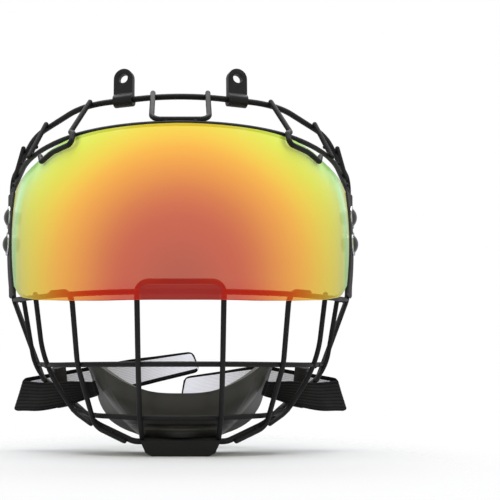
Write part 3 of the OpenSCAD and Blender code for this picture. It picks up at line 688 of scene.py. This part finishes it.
def lensSight(points):
    # the map of the coating's painted reflection colours: how far a point lies from the low middle of the lens as the
    # camera sees it;
    # the flanks and the temples add to it, each from a length behind the bend
    look = {"greenAt": 80.0, "tall": 1.3, "eye": 411.0, "sink": 0.12, "flank": (6.0, 0.007), "temple": (60.0, 0.03)}
    n, m = points.shape[:2]
    sight = []
    for i in range(n):
        s = abs(-lensHalf + 2 * lensHalf * i / (n - 1))
        (px, py), unused = lensPlan(min(s, lensHalf))
        depth = py - lensSize["front"]
        squeeze = 1 / (1 + depth / look["eye"])
        wide = px * squeeze / look["greenAt"]
        for start, rise in (look["flank"], look["temple"]):
            wide += max(0.0, s - lensArc - start) * rise
        for j in range(m):
            # the rings of colour sink a little towards the ears
            high = (points[i, j, 2] - lensSize["low"] - look["sink"] * depth) * squeeze
            sight.append((math.copysign(wide, i - n // 2), high / look["greenAt"] / look["tall"]))
    return sight


def visorLens():
    size = {"cols": 240, "rows": 72, "ease": 3, "hole": 2.8, "drill": 14.0}
    half, rows = size["cols"] // 2, size["rows"]
    outer = np.zeros((half + 1, rows + 1, 3))
    for i, s in enumerate(np.linspace(0, lensHalf, half + 1)):
        x = lensPlan(s)[0][0]
        low, top = lensLow(x), lensTop(x)
        for j in range(rows + 1):
            outer[i, j] = lensPoint(s, low + (top - low) * j / rows)
    # ease the small kinks between the outline's stations
    for j in range(rows + 1):
        for k in range(3):
            values = outer[:, j, k]
            full = np.concatenate([(-values if k == 0 else values)[:0:-1], values])
            outer[:, j, k] = gentle(full, size["ease"])[half:]
    full = np.concatenate([mirrored(outer[:0:-1]), outer])
    normal = np.cross(np.gradient(full, axis=0), np.gradient(full, axis=1))
    normal /= np.linalg.norm(normal, axis=2, keepdims=True)
    inner = full - normal * lensSize["thick"]
    grid = np.concatenate([full.reshape(-1, 3), inner.reshape(-1, 3)])
    faces, kinds = sheetFaces(*full.shape[:2])
    sight = lensSight(full)
    piece = newPiece("visorLens", grid, faces, sight + sight, "sight", kinds)
    addMaterials(piece, finish["lens"], finish["lensEdge"], finish["lensBack"])
    # holes for the four screws
    drill = bmesh.new()
    for spot in screwSpots:
        side = 1 if spot[0] > 0 else -1
        axis = Vector((flankNormal[0] * side, flankNormal[1], 0.0))
        turn = axis.to_track_quat("Z", "Y").to_matrix().to_4x4()
        bmesh.ops.create_cone(drill, cap_ends=True, segments=32, radius1=size["hole"] * mm, radius2=size["hole"] * mm,
                              depth=size["drill"] * mm, matrix=Matrix.Translation(Vector(spot)) @ turn)
    cutter = bpy.data.meshes.new("drill")
    drill.to_mesh(cutter)
    drill.free()
    tool = linked("drill", cutter)
    cut = piece.modifiers.new("holes", "BOOLEAN")
    cut.object, cut.operation, cut.solver = tool, "DIFFERENCE", "EXACT"
    applied(piece)
    bpy.data.objects.remove(tool)
    piece.data.set_sharp_from_angle(angle=math.radians(sharpAngle["lens"]))
    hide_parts("visor_lens")
    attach(piece, "face_guard")
    print("lens", len(piece.data.polygons), "faces")


visorLens()


# chin cup: shell, pad and base

# a is the angle round the front of the cup, w the share of the way back along its wing, near the depth
# inside its outer face and drop the depth under its edge
cupSize = {"mid": 87.5, "half": 53.5, "front": 44.0, "back": 112.0, "top": -77.5,
           "low": cage["chinZ"] + cage["rimRadius"] + 0.4, "wall": 3.0, "sole": 0.9, "padGap": 0.7, "pad": 5.0,
           "lean": 0.2, "wingBulge": 3.0, "wingFall": 10.0, "dip": 16.5, "dipHalf": 46.0,
           "taper": (13.0, 17.5), "wingTaper": 0.75, "floor": (37.0, 50.0), "floorFrom": 30.0, "floorLean": 1.7,
           "floorNear": 0.2, "baseRise": (4.0, 20.0)}


def cupPoint(a, w, inward, under, z):
    c = cupSize
    rad = math.radians(a)
    deep = c["mid"] - c["front"] - c["lean"] * (c["top"] - z) - under
    return np.array([(c["half"] - inward + c["wingBulge"] * w * (1 - w)) * math.sin(rad),
                     c["mid"] - deep * math.cos(rad) + w * (c["back"] - c["mid"]), z])


def cupEdge(a, w):
    c = cupSize
    aside = abs(c["half"] * math.sin(math.radians(a))) / c["dipHalf"]
    return c["top"] - c["dip"] * max(0.0, 1 - aside ** 3) - c["wingFall"] * w * w


def cupBase(w):
    early, late = cupSize["baseRise"]
    return cupSize["low"] + early * math.sqrt(max(w, 0.0)) + late * w * w


def cupWall(a, w, v, near, drop):
    c = cupSize
    edge = cupEdge(a, w) - drop
    z = edge + (cupBase(w) + near * c["sole"] - edge) * v
    h = (c["top"] - z) / (c["top"] - c["low"])
    return cupPoint(a, w, (c["taper"][0] * h + c["taper"][1] * h * h) * (1 - c["wingTaper"] * w) + near, near, z)


def cupFloor(a, w, f, near):
    c = cupSize
    inward = (f + near * c["floorNear"]) * (1 - c["wingTaper"] * w)
    return cupPoint(a, w, inward, (f - c["floorFrom"]) * c["floorLean"], cupBase(w) + near * c["sole"])


def cupSection(a, w, near, drop, wall, floor):
    out = [cupWall(a, w, k / wall, near, drop) for k in range(wall + 1)]
    return out + [cupFloor(a, w, f, near) for f in np.linspace(*cupSize["floor"], floor)]


def bump01(x, low, high):
    t = min(1.0, max(0.0, (x - low) / (high - low)))
    return t * t * (3 - 2 * t)


def cupStations(reach, bend, wing):
    ends = [(90.0, w) for w in np.linspace(0, reach, wing + 1)[1:]]
    return [(-a, w) for a, w in ends[::-1]] + [(a, 0.0) for a in np.linspace(-90, 90, bend)] + ends


def cupOutward(a, w):
    if w:
        return np.array([math.copysign(1, a), 0, 0])
    rad = math.radians(a)
    return unit([math.sin(rad) / cupSize["half"], -math.cos(rad) / (cupSize["mid"] - cupSize["front"]), 0])


def hill(z, middle, wide, high=1.0):
    return high * math.exp(-((z - middle) / wide) ** 2)


def chinShell():
    # the front carries a raised panel, under it two grooves round a rib, and a bead over the base
    look = {"panelRise": 1.2, "panelHalf": 59.0, "panelFoot": (-107.6, -106.6), "lipRise": 0.35, "grooveDeep": 0.7,
            "rib": (-110.2, 0.5, 0.5), "bead": (-113.2, 0.8, 0.7), "grooves": ((-107.9, 0.6), (-111.6, 0.7)),
            "frontHalf": 80.0, "frontEase": 10.0, "panelEase": 2.5, "lip": (0.2, 1.8), "wallSteps": 72, "floorSteps": 8}
    steps = (look["wallSteps"], look["floorSteps"])
    rings = []
    for a, w in cupStations(1.0, 181, 12):
        outer = cupSection(a, w, 0.0, 0.0, *steps)
        inner = cupSection(a, w, cupSize["wall"], 0.3, *steps)
        push = cupOutward(a, w)
        front = bump01(look["frontHalf"] - abs(a), 0, look["frontEase"]) if w == 0 else 0.0
        inPanel = bump01(look["panelHalf"] - abs(a), 0, look["panelEase"]) if w == 0 else 0.0
        for k in range(look["wallSteps"] + 1):
            z = outer[k][2]
            above = bump01(z, *look["panelFoot"])
            lip = 1 - bump01(cupEdge(a, w) - z, *look["lip"])
            rib = hill(z, *look["rib"]) + hill(z, *look["bead"])
            groove = sum(hill(z, *spot) for spot in look["grooves"])
            side = above * (1 - inPanel * above) * (1 - lip)
            outer[k] = outer[k] + push * (look["lipRise"] * lip - look["panelRise"] * side
                                          + front * (rib - look["grooveDeep"] * groove))
        rings.append(outer + inner[::-1])
    points = np.array(rings)
    piece = newPiece("chinShell", points.reshape(-1, 3), tubeFaces(*points.shape[:2]))
    faceOut(piece)
    addMaterials(piece, finish["cup"])
    piece.data.set_sharp_from_angle(angle=math.radians(sharpAngle["cup"]))
    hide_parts("chin_shell")
    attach(piece, "face_guard")
    print("cup shell", len(piece.data.polygons), "faces")


chinShell()


def chinPad():
    # foam liner, thickest in the middle of each of its three cushions and pinched at the sewn channels
    look = {"thinnest": 0.18, "seams": (-34.0, 34.0), "seamWide": 5.0, "seamDeep": 0.5, "crown": 0.45,
            "reach": 0.86, "endEase": 0.14, "endThick": 0.35, "outerDrop": 2.5, "innerDrop": 2.8, "mapRow": 8,
            "wallSteps": 20, "floorSteps": 8}
    steps = (look["wallSteps"], look["floorSteps"])
    near = cupSize["wall"] + cupSize["padGap"]
    rings, uvs = [], []
    arc, last = 0.0, None
    for a, w in cupStations(look["reach"], 81, 10):
        outer = cupSection(a, w, near, look["outerDrop"], *steps)
        inner = cupSection(a, w, near + cupSize["pad"], look["innerDrop"], *steps)
        count = len(outer)
        pinch = max(hill(a, seam, look["seamWide"]) for seam in look["seams"]) if w == 0 else 0.0
        end = bump01(look["reach"] - w, 0, look["endEase"])
        for k in range(count):
            crown = math.sin(math.pi * min(1.0, (k + 0.6) / (count + 0.2))) ** look["crown"]
            full = (1 - look["seamDeep"] * pinch) * crown * (look["endThick"] + (1 - look["endThick"]) * end)
            inner[k] = outer[k] + (inner[k] - outer[k]) * max(look["thinnest"], full)
        if last is not None:
            arc += float(np.linalg.norm(outer[look["mapRow"]] - last))
        last = outer[look["mapRow"]]
        ring = outer + inner[::-1]
        down = np.concatenate([[0], np.cumsum(np.linalg.norm(np.diff(ring, axis=0), axis=1))])
        rings.append(ring)
        uvs += [(arc, d) for d in down]
    points = np.array(rings)
    piece = newPiece("chinPad", points.reshape(-1, 3), tubeFaces(*points.shape[:2]), uvs)
    faceOut(piece)
    addMaterials(piece, finish["pad"])
    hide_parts("chin_pad")
    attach(piece, "face_guard")
    print("pad", len(piece.data.polygons), "faces")


chinPad()

# width, segments and least angle of the broken edges
brokenEdges = {"foot": (1.1, 4, 30), "slider": (0.7, 3, 40), "clip": (0.45, 3, 40)}
base = softEdged("chin_foot", "chinBase", *brokenEdges["foot"])
addMaterials(base, finish["foot"])
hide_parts("chin_foot")
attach(base, "face_guard")


# side plates

plateSize = {"top": cage["browZ"] - 4.6 - cage["wireRadius"] - 0.2,
             "low": cage["railZ"] + 13.5 + cage["wireRadius"] - 0.5, "off": 0.12, "thick": 1.2,
             "rimTop": (109.4, 129.0, 43.5), "rimLow": (104.4, 120.5, -34.5),
             "frontY": 95.5, "frontLean": 10.0, "bendShare": 0.6, "cell": 1.1, "round": 1.4}


def sidePlates():
    # a soft sheet over the end of the lens and the upright of the rim, its edges rounded
    size = plateSize
    rows, cols = 60, 26
    tall, turn = size["top"] - size["low"], size["bendShare"]
    upper, lower = np.array(size["rimTop"]), np.array(size["rimLow"])
    bend = lensArc + (lensSize["endX"] - 0.3 - lensTangent[0]) / math.cos(lensAngle)
    outer = np.zeros((rows + 1, cols + 1, 3))
    lift = np.zeros((rows + 1, cols + 1, 3))
    for i in range(rows + 1):
        z = size["low"] + tall * i / rows
        share = (upper[2] - z) / (upper[2] - lower[2])
        rimAt = upper + (lower - upper) * min(1.0, max(0.0, share))
        rimAt[2] = z
        frontY = size["frontY"] + size["frontLean"] * (z - size["low"]) / tall
        front = lensPoint(lensArc + (frontY - lensTangent[1]) / math.sin(lensAngle), z, size["off"])
        mid = lensPoint(bend, z, size["off"])
        back = rimAt + (cage["rimRadius"] + size["off"]) * flankNormal
        for j in range(cols + 1):
            t = j / cols
            if t < turn:
                outer[i, j] = front + (mid - front) * (t / turn)
            else:
                outer[i, j] = mid + (back - mid) * ((t - turn) / (1 - turn))
            edge = min(tall * i / rows, tall * (rows - i) / rows, j * size["cell"], (cols - j) * size["cell"])
            full = 1 - 0.5 * (1 - bump01(edge, 0, size["round"])) ** 2
            lift[i, j] = outer[i, j] + flankNormal * size["thick"] * full
    points = np.concatenate([lift.reshape(-1, 3), outer.reshape(-1, 3)])
    faces, unused = sheetFaces(rows + 1, cols + 1)
    for name in ("right", "left"):
        piece = newPiece("sidePlate_" + name, points if name == "right" else mirrored(points), faces)
        faceOut(piece)
        addMaterials(piece, finish["plate"])
        piece.data.set_sharp_from_angle(angle=math.radians(sharpAngle["plate"]))
        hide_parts("side_plate_" + name)
        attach(piece, "face_guard")


sidePlates()
print("side plates made")


# straps

strapSize = {"wide": 19.0, "thick": 1.8, "tab": 8.0, "z": -94.4, "foldX": 100.5, "fold": 4.5, "tabLean": 20.0,
             "lean": -6.0, "endLean": 45.0, "corner": 4.0, "draw": 2.6, "drawWide": 2.6, "rib": 0.12, "ribs": 0.45,
             "ribsTo": 0.9, "edgeFrom": 0.94, "edgeRound": 0.45, "border": 1.6, "across": 38}


def strapBand(end, name):
    s = strapSize
    tabX = cupWall(90, 0, 0.37, 0, 0)[0] + 1 + s["thick"] / 2
    corners = [[tabX, 80, s["z"] + 4], [tabX + 1, 91, s["z"] + 3.4], [80, 96.9, s["z"] - 1.2],
               [s["foldX"], 113.5, s["z"]], [52, 141.5, s["z"] + 10], end]
    line, along = roundedPath(corners, [0, 7, 25, s["fold"], 24, 0], 0.9)
    whole, across = along[-1], s["across"]
    # how far the band leans from upright and how wide it is, from the tab over the fold to the free end
    leanAt = [0, 13, 32, 46, 58, 66, 74, whole - 62, whole - 30, whole]
    leans = [s["tabLean"], s["tabLean"], -24, -33, -26, -12, s["lean"], s["lean"],
             s["lean"] * 0.3 + s["endLean"] * 0.7, s["endLean"]]
    widths = [s["tab"], s["tab"] + 1, s["wide"] * 0.74, s["wide"], s["wide"]]
    lean = gentle(np.interp(along, leanAt, leans), 4)
    wide = gentle(np.interp(along, [0, 12, 26, 42, whole], widths), 3)
    # the elastic draws in a little where it folds
    apex = along[int(np.argmax(line[:, 0]))]
    wide = wide - s["draw"] * np.exp(-((along - apex) / s["drawWide"]) ** 2)
    # round corners at the free end
    left = np.clip(s["corner"] - (whole - along), 0, None)
    wide = wide - 2 * (s["corner"] - np.sqrt(s["corner"] ** 2 - left ** 2))
    rings, uvs = [], []
    for i in range(len(line)):
        d = unit(line[min(len(line) - 1, i + 1)] - line[max(0, i - 1)])
        out = unit([d[1], -d[0], 0])
        rad = math.radians(lean[i])
        up = out * math.sin(rad) + np.array([0, 0, math.cos(rad)])
        face = out * math.cos(rad) - np.array([0, 0, math.sin(rad)])
        ring = []
        for layer in (1, -1):
            for k in range(across + 1):
                v = layer * (2 * k / across - 1)
                aside = v * s["wide"] / 2
                edge = 1 - s["edgeRound"] * max(0.0, (abs(v) - s["edgeFrom"]) / (1 - s["edgeFrom"])) ** 2
                ribbed = layer > 0 and abs(v) < s["ribsTo"]
                rib = s["rib"] * math.cos(aside * s["ribs"] * 2 * math.pi) if ribbed else 0.0
                deep = s["thick"] / 2 * edge - (s["rib"] - rib) * 0.5
                ring.append(line[i] + up * v * wide[i] / 2 + face * layer * deep)
                uvs.append((along[i], aside if along[i] < whole - s["border"] else s["wide"] / 2))
        rings.append(ring)
    points = np.array(rings) if name == "right" else mirrored(rings)
    n, m = points.shape[:2]
    faces = tubeFaces(n, m)
    kinds = [0 if c < across or c == m - 1 else 1 for r in range(n - 1) for c in range(m)]
    kinds += [0] * (len(faces) - len(kinds))
    piece = newPiece("chinStrap_" + name, points.reshape(-1, 3), faces, uvs, "surface", kinds)
    faceOut(piece)
    addMaterials(piece, finish["strapOut"], finish["strapIn"])
    piece.data.set_sharp_from_angle(angle=math.radians(sharpAngle["strap"]))
    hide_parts("strap_" + name)
    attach(piece, "face_guard")
    print("strap", name, "length", round(whole, 1), "mm")


strapBand([-10.5, 166, -71.5], "left")
strapBand([1.5, 150, -89], "right")

for side in ("left", "right"):
    loop = softEdged("slider_" + side, "strapSlider_" + side, *brokenEdges["slider"])
    addMaterials(loop, finish["slider"])
    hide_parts("slider_" + side)
    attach(loop, "slider_" + side)
    clip = softEdged("brow_clip_" + side, "browClip_" + side, *brokenEdges["clip"])
    addMaterials(clip, finish["clip"])
    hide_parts("brow_clip_" + side)
    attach(clip, "clip_" + side)
print("sliders and clips made")


# floor, light and camera

def studio():
    light = {"top": 15.0, "side": 6.4, "front": 2.6, "ambient": 0.2, "inGloss": 0.4, "fadeFrom": 0.1, "fadeTo": 0.42,
             "floorHalf": 0.9, "aim": (0, 0, 0.1)}
    world = bpy.data.worlds.new("studio")
    bpy.context.scene.world = world
    world.use_nodes = True
    back = world.node_tree.nodes["Background"]
    back.inputs[0].default_value = (1.0, 1.0, 1.0, 1.0)
    path = world.node_tree.nodes.new("ShaderNodeLightPath")
    seen, through, glossy = (Flow(world.node_tree, path.outputs["Is %s Ray" % kind])
                             for kind in ("Camera", "Transmission", "Glossy"))
    rays = seen + through + glossy * light["inGloss"]
    strength = rays.maths("MINIMUM", rays, 1.0) * (1 - light["ambient"]) + light["ambient"]
    world.node_tree.links.new(strength.socket, back.inputs[1])

    mesh = bpy.data.meshes.new("floor")
    corners = [(x * light["floorHalf"], y * light["floorHalf"], 0) for x, y in ((-1, -1), (1, -1), (1, 1), (-1, 1))]
    mesh.from_pydata(corners, [], [(0, 1, 2, 3)])
    floor = linked("floor", mesh)
    paper = Finish("paleFloor", roughness=0.9, specular_ior_level=0.05)
    paper.mottle(6, 2.0, (0.64, 0.65, 0.665), (0.66, 0.67, 0.68))
    # the paper runs out into the white of the backdrop
    x, y, unused = paper.split()
    far = ((x * x * 5 + y * y) ** 0.5).steps(light["fadeFrom"], light["fadeTo"])
    paper.surface(paper.mixed(far, paper.shader, paper.clear()))
    addMaterials(floor, paper.material)

    # each panel's size and place in metres, its power, and whether it shows in glossy surfaces
    panels = {"topPanel": ((1.5, 1.2), (0.0, 0.1, 1.0), light["top"], True),
              "leftPanel": ((0.7, 0.9), (-1.0, -0.45, 0.45), light["side"], False),
              "rightPanel": ((0.7, 0.9), (1.0, -0.45, 0.45), light["side"], False),
              "frontPanel": ((0.9, 0.5), (0.0, -1.1, 0.5), light["front"], False)}
    for name, (size, place, power, inGlossy) in panels.items():
        data = bpy.data.lights.new(name, "AREA")
        data.shape = "RECTANGLE"
        data.size, data.size_y = size
        data.energy = power
        lamp = linked(name, data)
        lamp.location = place
        lamp.rotation_euler = (Vector(light["aim"]) - Vector(place)).to_track_quat("-Z", "Y").to_euler()
        lamp.visible_glossy = inGlossy


def photoCamera():
    view = {"place": (0.0, -427.0, -100.0), "pitch": 9.97, "lens": 63.36, "sensor": 36, "shift": 0.1392, "near": 0.01}
    data = bpy.data.cameras.new("photoCamera")
    camera = linked("photoCamera", data)
    camera.location = Vector(inRow(view["place"]))
    camera.rotation_euler = (math.radians(90 + view["pitch"]), 0, 0)
    data.lens = view["lens"]
    data.sensor_width = view["sensor"]
    data.shift_x = view["shift"]
    data.clip_start = view["near"]
    bpy.context.scene.camera = camera


studio()
photoCamera()
bpy.context.scene.view_settings.view_transform = "Standard"
print("studio ready")
